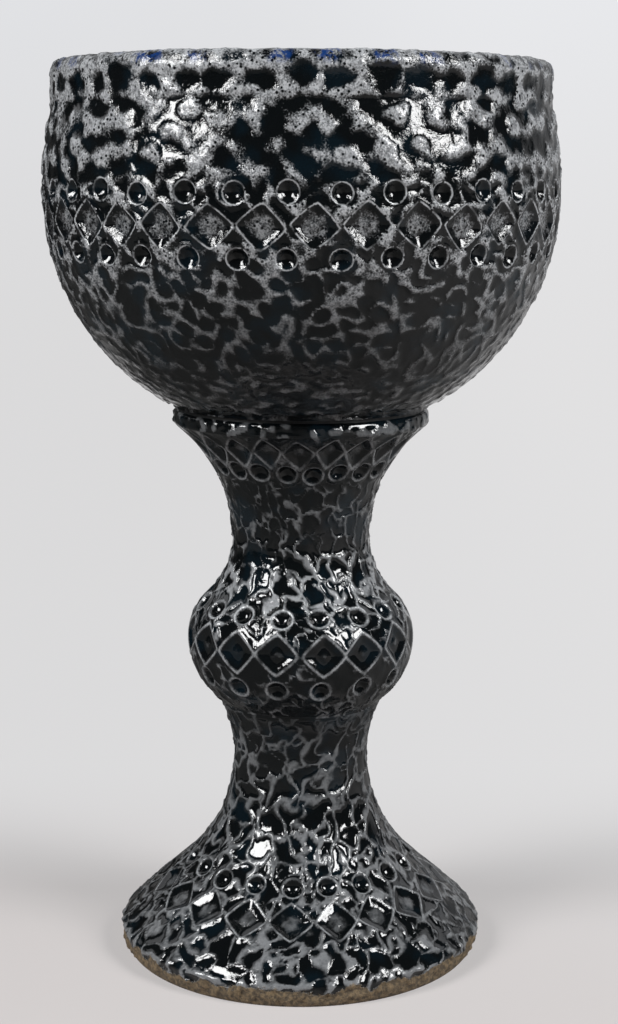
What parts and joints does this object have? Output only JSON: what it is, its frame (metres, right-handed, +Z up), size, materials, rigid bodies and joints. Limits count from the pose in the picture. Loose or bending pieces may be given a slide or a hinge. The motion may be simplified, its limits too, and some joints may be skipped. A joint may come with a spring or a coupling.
{
  "type": "stoneware goblet",
  "caption": "Wheel-thrown stoneware goblet with a round bowl, a knopped stem and a flared hollow foot, stamped with diamonds and dots under a dark salt glaze, for drinking.",
  "frame": {"origin": "centre of the foot's resting face, on the table", "axes": "+Z up along the goblet's axis; the side that the picture shows faces -Y"},
  "size_m": [0.0902, 0.0902, 0.16],
  "materials": {
    "salt_glaze": "glossy, orange-peel salt glaze, dark in the hollows and grey on the ridges",
    "luting_slip": "fired slip, dull"
  },
  "bodies": {
    "root": {"foot": "salt_glaze", "foot_slip": "luting_slip", "stem": "salt_glaze", "bowl_slip": "luting_slip", "bowl": "salt_glaze"}
  },
  "joints": []
}
